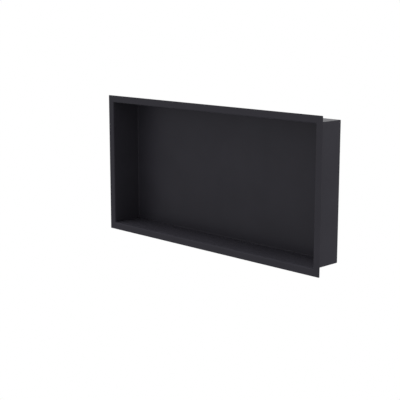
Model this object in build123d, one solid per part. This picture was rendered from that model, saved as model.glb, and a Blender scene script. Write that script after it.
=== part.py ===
"""Flanged wall niche: an open-fronted box and its face flange, folded and welded from one steel sheet.

Frame: +X along the width, +Y into the wall, +Z up. The origin is the middle of the opening, in the plane
of the flange's rear face, which lies on the finished wall. All sizes are millimetres.
"""
from build123d import *

import os

# Driving dimensions
OVERALL_WIDTH = 600.0     # across the flange, rim to rim
OVERALL_HEIGHT = 300.0    # across the flange, rim to rim
FLANGE_WIDTH = 15.0       # from the rim to the wall of the opening
RECESS_DEPTH = 70.0       # from the finished wall to the inside of the back panel
SHEET = 1.5               # thickness of the steel sheet
BACK_BEND_RADIUS = 2.0    # hollow side of the folds round the back panel
FLANGE_BEND_RADIUS = 1.0  # hollow side of the fold from wall to flange, which is behind the flange
SEAM_RADIUS = 0.8         # the welds where two walls meet, ground smooth outside and inside
RIM_CORNER_RADIUS = 1.5   # the flange's four outer corners, rounded so that they don't cut
RIM_EDGE_RADIUS = 0.4     # deburred edges all round the rim

# Sizes that follow from them
OPENING_WIDTH = OVERALL_WIDTH - 2 * FLANGE_WIDTH
OPENING_HEIGHT = OVERALL_HEIGHT - 2 * FLANGE_WIDTH
BACK_BEND_OUTSIDE = BACK_BEND_RADIUS + SHEET
FLANGE_BEND_OUTSIDE = FLANGE_BEND_RADIUS + SHEET
FLANGE_FRONT = -SHEET     # Y of the flange's front face
FLANGE_REAR = 0.0         # Y of the flange's rear face, on the wall
BACK_INSIDE = RECESS_DEPTH
BACK_OUTSIDE = RECESS_DEPTH + SHEET


def prism(outline, front, back):
    """An upright outline, drawn in X and Z about the origin, carried along +Y from front to back."""
    facing_front = Plane.XZ.offset(-front)
    return extrude(facing_front * outline, amount=front - back)


def tray_block(width, height, front, back, radius):
    """A block whose back edges are rounded as folds, which meet at a mitre; its other edges stay sharp."""
    block = prism(Rectangle(width, height), front, back)
    back_edges = block.edges().group_by(Axis.Y)[-1]
    return fillet(back_edges, radius)


def flange_plate():
    """The flange as a full plate, with rounded corners and deburred edges; the opening is cut later."""
    outline = RectangleRounded(OVERALL_WIDTH, OVERALL_HEIGHT, RIM_CORNER_RADIUS)
    plate = prism(outline, FLANGE_FRONT, FLANGE_REAR)
    rim_edges = plate.edges().group_by(Axis.Y)[0] + plate.edges().group_by(Axis.Y)[-1]
    return fillet(rim_edges, RIM_EDGE_RADIUS)


def edges_on(shape, depth, width, height):
    """The edges of a shape that lie in the plane Y = depth, inside a window of that width and height."""
    in_plane = shape.edges().filter_by_position(Axis.Y, depth, depth)
    in_width = in_plane.filter_by_position(Axis.X, -width / 2, width / 2)
    return in_width.filter_by_position(Axis.Z, -height / 2, height / 2)


def niche_body():
    """The whole niche: box and flange made solid, the cavity cut out, then flange fold and welds rounded."""
    box = tray_block(OPENING_WIDTH + 2 * SHEET, OPENING_HEIGHT + 2 * SHEET,
                     FLANGE_FRONT, BACK_OUTSIDE, BACK_BEND_OUTSIDE)
    cavity = tray_block(OPENING_WIDTH, OPENING_HEIGHT, FLANGE_FRONT, BACK_INSIDE, BACK_BEND_RADIUS)
    body = box + flange_plate() - cavity

    # The fold from wall to flange: round where it faces the room, hollow behind the flange
    middle_width = OVERALL_WIDTH - FLANGE_WIDTH
    middle_height = OVERALL_HEIGHT - FLANGE_WIDTH
    body = fillet(edges_on(body, FLANGE_FRONT, middle_width, middle_height), FLANGE_BEND_OUTSIDE)
    body = fillet(edges_on(body, FLANGE_REAR, middle_width, middle_height), FLANGE_BEND_RADIUS)

    # The welds where two walls meet are the longest edges into the wall, four outside and four inside
    seams = body.edges().filter_by(Axis.Y).group_by(SortBy.LENGTH)[-1]
    return fillet(seams, SEAM_RADIUS)


os.makedirs("parts", exist_ok=True)
export_step(niche_body(), "parts/niche_body.step")
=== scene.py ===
# %% [markdown]
# # A matt black niche for a shower wall
#
# A niche insert is a shallow metal box with an open front. It slides into a hole in a tiled wall until
# its flange lies flat on the tiles, and then it holds bottles. This lesson dresses the solid model of
# one: a clean skin whose folds shade smoothly, a powder-coated finish, soft studio light and a camera.
#
# The solid is loaded first and is never moved. Its box is kept, and the sizes of the sheet are read
# from it.

# %% Load the solid part
import math

import bpy
import numpy as np
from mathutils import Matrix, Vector


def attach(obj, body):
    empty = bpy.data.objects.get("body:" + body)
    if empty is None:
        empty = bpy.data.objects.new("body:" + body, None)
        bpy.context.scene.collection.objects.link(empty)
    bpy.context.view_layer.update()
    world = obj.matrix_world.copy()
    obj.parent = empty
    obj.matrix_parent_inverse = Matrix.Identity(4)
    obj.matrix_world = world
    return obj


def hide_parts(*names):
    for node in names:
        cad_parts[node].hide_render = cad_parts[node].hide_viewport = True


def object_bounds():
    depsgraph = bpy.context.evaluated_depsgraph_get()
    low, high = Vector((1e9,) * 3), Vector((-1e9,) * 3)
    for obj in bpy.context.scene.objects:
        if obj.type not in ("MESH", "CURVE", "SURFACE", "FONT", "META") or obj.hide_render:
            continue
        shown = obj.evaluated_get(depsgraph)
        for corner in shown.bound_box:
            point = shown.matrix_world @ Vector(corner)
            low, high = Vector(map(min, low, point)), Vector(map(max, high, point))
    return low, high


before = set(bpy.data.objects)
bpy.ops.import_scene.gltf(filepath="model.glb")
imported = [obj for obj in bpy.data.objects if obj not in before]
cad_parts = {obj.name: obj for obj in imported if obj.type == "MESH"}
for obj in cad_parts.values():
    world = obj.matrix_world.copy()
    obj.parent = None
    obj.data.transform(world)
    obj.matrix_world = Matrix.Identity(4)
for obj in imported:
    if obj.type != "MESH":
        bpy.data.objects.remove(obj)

cad_low, cad_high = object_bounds()
print("solid box in mm:", [round(1000 * side, 2) for side in (*cad_low, *cad_high)])

# %% [markdown]
# ## What the sheet-metal worker was told
#
# The box, the flange and every fold are one steel sheet, so few sizes describe them. The overall width,
# height and depth are read from the solid. The flange's rear face lies at y = 0, on the tiles, so the
# sheet's thickness is how far the solid reaches in front of that.
#
# The rest can't be read from a box and is written here: the hollow side of the folds round the back panel
# and behind the flange, the ground welds where two walls meet, and the filed corners and edges of the
# flange's rim.

# %% Sizes of the sheet, in metres
MM = 0.001
half_width, half_height = round(cad_high.x, 6), round(cad_high.z, 6)
sheet = round(-cad_low.y, 6)
back_inside = round(cad_high.y, 6) - sheet
flange_width = 15 * MM
back_hollow = 2 * MM
back_outside = back_hollow + sheet
lip_hollow = 1 * MM
lip_outside = lip_hollow + sheet
seam = 0.8 * MM
rim_corner = 1.5 * MM
rim_edge = 0.4 * MM
print(f"sheet {sheet / MM:.2f} mm, recess {back_inside / MM:.1f} mm")
print(f"outside of the folds: back {back_outside / MM:.1f} mm, lip {lip_outside / MM:.1f} mm")

# %% [markdown]
# ## The path: once round the opening
#
# Anything folded round a rectangular opening is the same cut edge, carried once round that rectangle. A
# box could be bevelled instead, but a fold is rounder outside than in its hollow, by the thickness of the
# sheet, and every bevel would have to be told. A profile on a path has that by itself.
#
# It also keeps two kinds of edges apart. The back and the flange are folded, with the round edge that a
# bending press leaves. The four walls only meet each other at the corners, where they are welded and
# ground, and that edge is nearly sharp.
#
# The path is held as marks without a size. One mark says where it is between the corners and which way is
# out. The path's heart is the edge of the flat back panel, and a profile reaches out from there.

# %% Places along a side
RUNS_ACROSS, RUNS_UP = 24, 12
fade = 3 * MM    # how far the look of an edge reaches on to the flat beside it
heart_width = half_width - flange_width - back_hollow
heart_height = half_height - flange_width - back_hollow


def even_runs(half_length, count):
    """Places from -1 to 1 along a side: its two ends, a fade away from each end, and evenly between."""
    near = 1 - fade / half_length
    return np.concatenate([[-1], np.linspace(-near, near, count - 1), [1]])


print("faces along a side:", RUNS_ACROSS, "across and", RUNS_UP, "up")

# %% The path round the opening
CORNER_STEPS = 10


def path_marks():
    """One trip round a rectangle with rounded corners: places m from -1 to 1, ways out u, 1 in a corner.

    A loop of half width W, half height H and corner radius c goes through x = m_x (W - c) + c u_x and
    z = m_z (H - c) + c u_z. Along a side only m moves, and round a corner only u turns.
    """
    corners = np.array([(1, 1), (-1, 1), (-1, -1), (1, -1)], float)
    places, outward, at_corner = [], [], []
    for side in range(4):
        half_length, count = ((heart_width, RUNS_ACROSS), (heart_height, RUNS_UP))[side % 2]
        here, there = corners[side], corners[(side + 1) % 4]
        run = even_runs(half_length, count)[1:-1, None]
        turn = np.radians(90 * side + np.linspace(0, 90, CORNER_STEPS + 1))
        angle = np.concatenate([turn, np.full(len(run), turn[-1])])
        places += [np.tile(here, (len(turn), 1)), (here + there) / 2 + (there - here) / 2 * run]
        outward.append(np.column_stack([np.cos(angle), np.sin(angle)]))
        at_corner += [np.ones(len(turn)), np.zeros(len(run))]
    return np.concatenate(places), np.concatenate(outward), np.concatenate(at_corner)


place, outward, at_corner = path_marks()
print("path:", len(place), "marks,", int(at_corner.sum()), "of them round the corners")

# %% [markdown]
# ## The profile: the sheet's cut edge
#
# Cut through the flange and the wall behind it and look at the cut end. It is a Z of constant thickness:
# back panel, fold, wall, fold, flange. Only its arcs have to be worked out, because the flats are the
# straight lines between them. Each arc knows whether it is the outside or the hollow of a fold, and so
# which way its surface faces.
#
# Each station also knows how round the path's corner is there. At a weld that is the small radius of the
# grinding, and the folds run straight into each other at a mitre. On the rim the flange's corner is filed
# rounder.
#
# The last number of a station is for the finish. Powder draws back from a sharp rim while it melts, and
# it doesn't reach well into a hollow, so the film's sheen differs there. The same number makes the colour
# a little lighter on the rim and the outside of the folds and a little darker in the hollows; that
# darkening in the hollows is painted shade.

# %% The arcs of the profile
FOLD_STEPS = 12
# film numbers: they set the sheen, and they paint the colour a little lighter on the rim and darker in the
# hollows, painted shade
ON_RIM, ON_FOLD, IN_HOLLOW = 1, 0.4, -1


def arc(centre, radius, start, stop, film, corner_heart=None):
    """Stations round a fold: reach and depth = centre + radius (cos, sin). A hollow faces its centre.

    Columns: reach out from the path's heart, corner radius there, depth into the wall, normal out, normal
    in depth, mitre, film number (film and painted shade). At a weld the corner radius is the seam's, but
    never more than the reach, so a fold's corner closes to a point where it meets the panel. On the rim all
    corners have one heart, and nothing is mitred.
    """
    angle = np.radians(np.linspace(start, stop, FOLD_STEPS + 1))
    way = np.column_stack([np.cos(angle), np.sin(angle)])
    reach, depth = (np.array(centre) + radius * way).T
    facing = -way if film == IN_HOLLOW else way
    corner = np.minimum(reach, seam) if corner_heart is None else reach - corner_heart
    mitre = (reach > seam) & (corner_heart is None)
    return np.column_stack([reach, corner, depth, facing, mitre, np.full(len(angle), film)])


back_fold = (0, back_inside - back_hollow)
lip_fold = (back_hollow + lip_outside, lip_hollow)
rim_reach = back_hollow + flange_width
rim_centre = rim_reach - rim_edge
rim_heart = rim_reach - rim_corner
arcs = [
    arc(back_fold, back_outside, 90, 0, ON_FOLD),
    arc(lip_fold, lip_hollow, 180, 270, IN_HOLLOW),
    arc((rim_centre, -rim_edge), rim_edge, 90, 0, ON_RIM, rim_heart),
    arc((rim_centre, rim_edge - sheet), rim_edge, 0, -90, ON_RIM, rim_heart),
    arc(lip_fold, lip_outside, 270, 180, ON_FOLD),
    arc(back_fold, back_hollow, 0, 90, IN_HOLLOW),
]
print("arcs:", len(arcs), "with", FOLD_STEPS + 1, "stations each")

# %% The flats between the arcs
def flat(first, last):
    """Two stations on the line between two arcs, a fade away from each, where the film is even again."""
    length = np.hypot(last[0] - first[0], last[2] - first[2])
    if length < 2 * fade:
        return np.empty((0, len(first)))
    between = first + (last - first) * np.array([[fade / length], [1 - fade / length]])
    # on the flats the film number, and the painted shade it carries, is zero
    between[:, -1] = 0
    return between


chain = [arcs[0]]
for following in arcs[1:]:
    chain += [flat(chain[-1][-1], following[0]), following]
profile = np.concatenate(chain)
print(f"profile: {len(profile)} stations, reaching {profile[:, 0].max() / MM:.1f} mm out from the heart")

# %% [markdown]
# ## Carrying the profile round
#
# Path and profile are multiplied as whole arrays: one row per station, one column per mark. The two flat
# panels that close the back are grids on the same marks, so their edges meet the folds point for point.
#
# Normals come from the same formula. A fold is only a few faces wide, and with its true normals it still
# shades like a round fold, while the flats beside it stay flat. Blender's own averaged normals would
# smear it over the flats.

# %% The folded sheet
def swept_sheet():
    """Points, normals and film, stations in rows and marks in columns, by the path's formula for a loop.

    In a mitred corner the profile runs out along the diagonal m and not along u. A step out is then
    m . u times as long as it is along u, and so the normal's part in depth is m . u times as large.
    For the film number, with the painted shade that it carries, a weld counts as a fold does.
    """
    reach, corner, depth, out, inward, mitre, film = profile.T[:, :, None]
    x = place[:, 0] * (heart_width + reach - corner) + corner * outward[:, 0]
    z = place[:, 1] * (heart_height + reach - corner) + corner * outward[:, 1]
    points = np.stack([x, depth + 0 * x, z], -1)
    stretch = 1 + mitre * at_corner * ((place * outward).sum(1) - 1)
    normals = np.stack([out * outward[:, 0], inward * stretch, out * outward[:, 1]], -1)
    normals /= np.linalg.norm(normals, axis=-1, keepdims=True)
    return points, normals, np.clip(film + ON_FOLD * out * at_corner, IN_HOLLOW, ON_RIM)


folds = swept_sheet()
print("folded sheet:", " by ".join(map(str, folds[2].shape)), "points")

# %% The two sides of the back panel
def panel(depth, facing, film):
    """A flat grid x, z at one depth between the corners of the path, with the folds' film on its edge."""
    across = heart_width * even_runs(heart_width, RUNS_ACROSS)
    up = heart_height * even_runs(heart_height, RUNS_UP)
    x, z = np.meshgrid(across, up[::-facing])
    points = np.stack([x, np.full_like(x, depth), z], -1)
    normals = np.broadcast_to((0.0, facing, 0.0), points.shape)
    edge = np.ones(x.shape)
    edge[1:-1, 1:-1] = 0
    # the panel's edge takes the folds' film number: painted shade on the hollow inside, a little lighter
    # outside
    return points, normals, film * edge


inner_panel = panel(back_inside, -1, IN_HOLLOW)
outer_panel = panel(back_inside + sheet, 1, ON_FOLD)
print("each panel:", " by ".join(map(str, inner_panel[2].shape)), "points")

# %% The faces of all three grids
def grid_faces(rows, columns, closed):
    """Four-sided faces of a grid of points; where it is closed, its last column joins its first."""
    index = np.arange(rows * columns).reshape(rows, columns)
    if closed:
        index = np.column_stack([index, index[:, 0]])
    return np.stack([index[:-1, :-1], index[:-1, 1:], index[1:, 1:], index[1:, :-1]], -1).reshape(-1, 4)


grids = [folds, inner_panel, outer_panel]
points = np.concatenate([grid[0].reshape(-1, 3) for grid in grids])
normals = np.concatenate([grid[1].reshape(-1, 3) for grid in grids])
films = np.concatenate([grid[2].ravel() for grid in grids])
starts = np.cumsum([0] + [grid[2].size for grid in grids])
rings = (True, False, False)
quads = np.concatenate([start + grid_faces(*grid[2].shape, ring)
                        for start, grid, ring in zip(starts, grids, rings)])
print("loose grids:", len(points), "points,", len(quads), "faces")

# %% [markdown]
# ## Welding the grids into one skin
#
# Where the panels meet the folds, two points lie on one spot, and at a panel's corner a whole arc shrinks
# to a point. Points on the same spot become one, and a face that lost a side this way is left with three.
# Then no edge belongs to only one face, which is what a closed skin means.
#
# Two results show whether it worked: every edge has two faces, and the volume inside is that of the
# steel. A skin turned inside out would have a negative volume.

# %% Weld the grids
SAME_SPOT = 0.0001 * MM
spots = np.round(points / SAME_SPOT).astype(np.int64)
_, first, weld = np.unique(spots, axis=0, return_index=True, return_inverse=True)
quads = weld.reshape(-1)[quads]
points, normals, films = points[first], normals[first], films[first]
kept = np.roll(quads, 1, 1) != quads
sides = kept.sum(1)
triangles = quads[sides == 3][kept[sides == 3]].reshape(-1, 3)
quads = quads[sides == 4]
print("welded:", len(points), "points,", len(quads), "faces with four sides,", len(triangles), "with three")

# %% Measure the skin
edges = np.concatenate([np.stack([f, np.roll(f, -1, 1)], -1).reshape(-1, 2) for f in (quads, triangles)])
_, uses = np.unique(np.sort(edges, 1), axis=0, return_counts=True)
halves = np.concatenate([quads[:, [0, 1, 2]], quads[:, [0, 2, 3]], triangles])
a, b, c = points[halves].transpose(1, 0, 2)
volume = (a * np.cross(b, c)).sum() / 6
print("every edge has two faces:", (uses == 2).all())
print(f"steel: {volume * 1e6:.1f} cm3")

# %% [markdown]
# ## One sheet, one mesh
#
# On the bench the niche is a single piece, so it is a single mesh as well. Its points could be made one
# by one with bmesh, but the arrays are ready, and one call takes them all. The normals from the formula
# go in with them, and the film number becomes an attribute that the finish can read; it carries the
# film's sheen and painted shade in the hollows. The mesh takes the solid's place on the same body.

# %% Make the mesh
mesh = bpy.data.meshes.new("folded_niche")
mesh.from_pydata(points.tolist(), [], quads.tolist() + triangles.tolist())
mesh.shade_smooth()
mesh.normals_split_custom_set_from_vertices(normals.tolist())
# the film number as an attribute: it sets the sheen and paints shade into the colour of the hollows
mesh.attributes.new("film", "FLOAT", "POINT").data.foreach_set("value", films.astype(np.float32))
niche = bpy.data.objects.new("folded_niche", mesh)
bpy.context.scene.collection.objects.link(niche)
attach(niche, "root")
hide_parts("niche_body")
print("made", niche.name, "with", len(mesh.polygons), "faces")

# %% [markdown]
# ## Matt black powder coat
#
# Powder coat is plastic dust, sprayed dry on to charged steel and melted in an oven. Close up it is never
# smooth: it has an orange peel of waves some millimetres long, and a matt powder adds a fine grain. From
# across a room both show only as a soft, even sheen.
#
# Painted pictures could give that, but they stretch when the part is made longer. Three noises on Object
# coordinates don't: they are the slow waves, the grain, and faint clouds where the film is thicker. Object
# coordinates are metres on this part, so a noise of 250 lumps in a metre has waves of about 4 mm.

# %% The noises in the coat
coat = bpy.data.materials.new("matt_black_powder_coat")
coat.use_nodes = True
mesh.materials.append(coat)
nodes, links = coat.node_tree.nodes, coat.node_tree.links
where = nodes.new("ShaderNodeTexCoord")


def noise(lumps, detail):
    """A noise on Object coordinates, with about that many lumps in a metre."""
    made = nodes.new("ShaderNodeTexNoise")
    made.inputs["Scale"].default_value = lumps
    made.inputs["Detail"].default_value = detail
    links.new(where.outputs["Object"], made.inputs["Vector"])
    print(f"noise with lumps of about {1000 / lumps:.1f} mm")
    return made.outputs["Fac"]


peel = noise(lumps=250, detail=1)
grain = noise(lumps=1300, detail=2)
cloud = noise(lumps=14, detail=2)

# %% [markdown]
# ## The colour of the coat
#
# The colour could be one flat value, but a baked film is a little uneven. It drifts between two close
# blacks, both with a little blue in them: slowly with the clouds and finely with the grain. By the film
# number of the mesh it is also a little lighter on the rim and the outside of the folds, and a little
# darker in the hollows, which is painted shade.

# %% Carry a noise or the film number to another range
NOISE_LOW, NOISE_HIGH = 0.3, 0.7    # nearly all of a noise lies between these
film_and_shade_reader = nodes.new("ShaderNodeAttribute")
film_and_shade_reader.attribute_name = "film"


def spread(value, low, high, to_low, to_high):
    """Carries a value from one range to another."""
    made = nodes.new("ShaderNodeMapRange")
    made.inputs["From Min"].default_value = low
    made.inputs["From Max"].default_value = high
    made.inputs["To Min"].default_value = to_low
    made.inputs["To Max"].default_value = to_high
    links.new(value, made.inputs["Value"])
    return made.outputs["Result"]


def by_noise(value, to_low, to_high):
    """A noise, carried to another range."""
    return spread(value, NOISE_LOW, NOISE_HIGH, to_low, to_high)


# on the colour the film number paints shade into the hollows and lightens the rim; on the roughness it is
# the film's sheen
def by_film_and_shade(to_hollow, to_rim):
    """The film number, carried to a range from the hollows to the rim."""
    return spread(film_and_shade_reader.outputs["Fac"], IN_HOLLOW, ON_RIM, to_hollow, to_rim)


print("film number on the mesh: from", films.min(), "to", films.max())

# %% Colour
darker_black = (0.0249, 0.0239, 0.0296, 1)
lighter_black = (0.0294, 0.0283, 0.0350, 1)


def plus(one, other):
    """The sum of two values."""
    made = nodes.new("ShaderNodeMath")
    made.operation = "ADD"
    links.new(one, made.inputs[0])
    links.new(other, made.inputs[1])
    return made.outputs["Value"]


paint = nodes["Principled BSDF"]
tone = nodes.new("ShaderNodeMix")
tone.data_type = "RGBA"
tone.inputs["A"].default_value = darker_black
tone.inputs["B"].default_value = lighter_black
uneven = plus(by_noise(cloud, to_low=0.1, to_high=0.7), by_noise(grain, to_low=-0.1, to_high=0.3))
# painted shade: by the film number the colour is a little darker in the hollows, and a little lighter on
# the rim and outside the folds
links.new(plus(uneven, by_film_and_shade(to_hollow=-0.1, to_rim=0.1)), tone.inputs["Factor"])
links.new(tone.outputs["Result"], paint.inputs["Base Color"])
print("colour made of", len(nodes), "nodes")

# %% [markdown]
# ## The sheen and relief of the coat
#
# A matt powder sends little light back as a mirror does, so the specular level is low, and the coat turns
# lighter only where it is seen at a glancing angle, as along the top of the box. It is a little duller in
# the hollows, where nothing rubs it.
#
# The relief could be modelled, but that would take millions of faces. A bump of a real depth does the
# same to the light: three hundredths of a millimetre of orange peel, and a finer grain over it.

# %% Sheen
paint.inputs["Specular IOR Level"].default_value = 0.03
grainy = by_noise(grain, to_low=0.26, to_high=0.34)
links.new(plus(grainy, by_film_and_shade(to_hollow=0.04, to_rim=-0.04)), paint.inputs["Roughness"])
print(f"sheen: specular level {paint.inputs['Specular IOR Level'].default_value:.2f}")

# %% Relief
peel_depth, grain_depth = 0.03 * MM, 0.012 * MM


def relief(height, depth, below=None):
    """A bump of that real depth in metres, laid over the bump below it."""
    made = nodes.new("ShaderNodeBump")
    made.inputs["Strength"].default_value = 1.0
    made.inputs["Distance"].default_value = depth
    links.new(height, made.inputs["Height"])
    if below is not None:
        links.new(below, made.inputs["Normal"])
    return made.outputs["Normal"]


orange_peel = relief(peel, peel_depth)
links.new(relief(grain, grain_depth, orange_peel), paint.inputs["Normal"])
print("coat:", len(nodes), "nodes on", niche.name)

# %% [markdown]
# ## A pale floor, far below
#
# A niche sits in a wall at about chest height, so the floor is a plain pale sheet well below it. It is
# there for the shadow, which falls on it softly and shows from above. A cube could be the floor too, but
# four points are all that a flat sheet needs. Its grey comes out just white under the light that follows.

# %% The floor
floor_height, floor_half = -1.35, 1.2
floor_corners = floor_half * np.array([(-1, -1), (1, -1), (1, 1), (-1, 1)])
floor_points = np.column_stack([floor_corners, np.full(4, floor_height)])
floor_mesh = bpy.data.meshes.new("pale_floor")
floor_mesh.from_pydata(floor_points.tolist(), [], [(0, 1, 2, 3)])
floor = bpy.data.objects.new("pale_floor", floor_mesh)
bpy.context.scene.collection.objects.link(floor)
print(f"floor: {2 * floor_half} m square, {-floor_height} m below the middle of the niche")

# %% The floor's paint
floor_paint = bpy.data.materials.new("pale_floor_paint")
floor_paint.use_nodes = True
floor_mesh.materials.append(floor_paint)
floor_shader = floor_paint.node_tree.nodes["Principled BSDF"]
pale_grey = 0.61
floor_shader.inputs["Base Color"].default_value = (pale_grey, pale_grey, pale_grey, 1)
floor_shader.inputs["Roughness"].default_value = 0.9
floor_shader.inputs["Specular IOR Level"].default_value = 0
print("floor paint: grey of", pale_grey)

# %% [markdown]
# ## White walls all round
#
# For a catalogue picture the niche hangs among white paper walls, which are the background and light it
# as well. The world does both here. Where the camera or a reflection sees it, its strength is 1, which is
# white. As a light it is a little weaker, because paper is dimmer than a lamp. Light Path tells the two
# uses apart, so the background stays white without more light on the niche. A white backdrop mesh could
# do it too, but it would hide the part from behind.

# %% The white surround
room = bpy.data.worlds.new("white_surround")
room.use_nodes = True
bpy.context.scene.world = room
room_nodes, room_links = room.node_tree.nodes, room.node_tree.links
walls = room_nodes["Background"]
walls.inputs["Color"].default_value = (1, 1, 1, 1)
ray = room_nodes.new("ShaderNodeLightPath")
seen = ray.outputs["Is Camera Ray"]
for kind in ("Is Glossy Ray", "Is Transmission Ray"):
    either = room_nodes.new("ShaderNodeMath")
    either.operation = "MAXIMUM"
    room_links.new(seen, either.inputs[0])
    room_links.new(ray.outputs[kind], either.inputs[1])
    seen = either.outputs["Value"]
as_a_light, as_seen = 0.74, 1.0
level = room_nodes.new("ShaderNodeMapRange")
level.inputs["To Min"].default_value = as_a_light
level.inputs["To Max"].default_value = as_seen
room_links.new(seen, level.inputs["Value"])
room_links.new(level.outputs["Result"], walls.inputs["Strength"])
print("walls: strength", as_a_light, "as a light,", as_seen, "where they are seen")

# %% [markdown]
# ## Three soft boxes
#
# Light from all sides alone would leave a black box flat. A soft box above lights its top and the front
# of its floor. One low at the left front looks in at the back panel and leaves the left wall in shade.
# One behind on the right lifts the outside of the box.
#
# A soft box could be an area lamp, whose light falls off with distance. Far away it is the same as a sun
# with a wide angle, and that is simpler: a sun of pi watts per square metre lights a white surface that
# faces it to just white.

# %% The soft boxes
def soft_box(name, azimuth, elevation, width, strength):
    """A wide sun that shines from (sin a cos e, -cos a cos e, sin e): a = 0 is the front, 90 the right.

    Strength 1 lights a white surface that faces it to just white.
    """
    lamp = bpy.data.lights.new(name, "SUN")
    lamp.angle = math.radians(width)
    lamp.energy = math.pi * strength
    holder = bpy.data.objects.new(name, lamp)
    bpy.context.scene.collection.objects.link(holder)
    a, e = math.radians(azimuth), math.radians(elevation)
    towards = Vector((math.sin(a) * math.cos(e), -math.cos(a) * math.cos(e), math.sin(e)))
    holder.rotation_euler = towards.to_track_quat("Z", "Y").to_euler()
    print(f"{name}: strength {strength}, {width} degrees wide")


soft_box("overhead_box", azimuth=-45, elevation=81, width=24, strength=0.76)
soft_box("left_front_box", azimuth=-30, elevation=0, width=30, strength=0.144)
soft_box("right_back_box", azimuth=135, elevation=20, width=50, strength=0.53)

# %% [markdown]
# ## The camera
#
# The niche is seen from the right and a little from above, from two metres away and with a long lens, so
# its edges run together only a little. The camera is tilted down to aim at the niche, which makes the
# upright edges lean by about a degree. A lens shift with a level camera would keep them upright. But a
# shift stays on when the camera goes round to the other sides, and it would push the niche out of the
# picture there, so none is used.
#
# The view transform is Standard, so that a colour comes out as it was set.

# %% The camera
eye = (1.4232, -1.4154, 0.3439)
tilt_down, turn_left = 10.96, 45.45
camera_body = bpy.data.cameras.new("camera")
camera_body.sensor_width = 36
camera_body.lens = 90.37
camera = bpy.data.objects.new("camera", camera_body)
camera.location = eye
camera.rotation_euler = (math.radians(90 - tilt_down), 0, math.radians(turn_left))
bpy.context.scene.collection.objects.link(camera)
bpy.context.scene.camera = camera
bpy.context.scene.view_settings.view_transform = "Standard"
print(f"camera: {camera_body.lens:.1f} mm lens, {camera.location.length:.2f} m away")
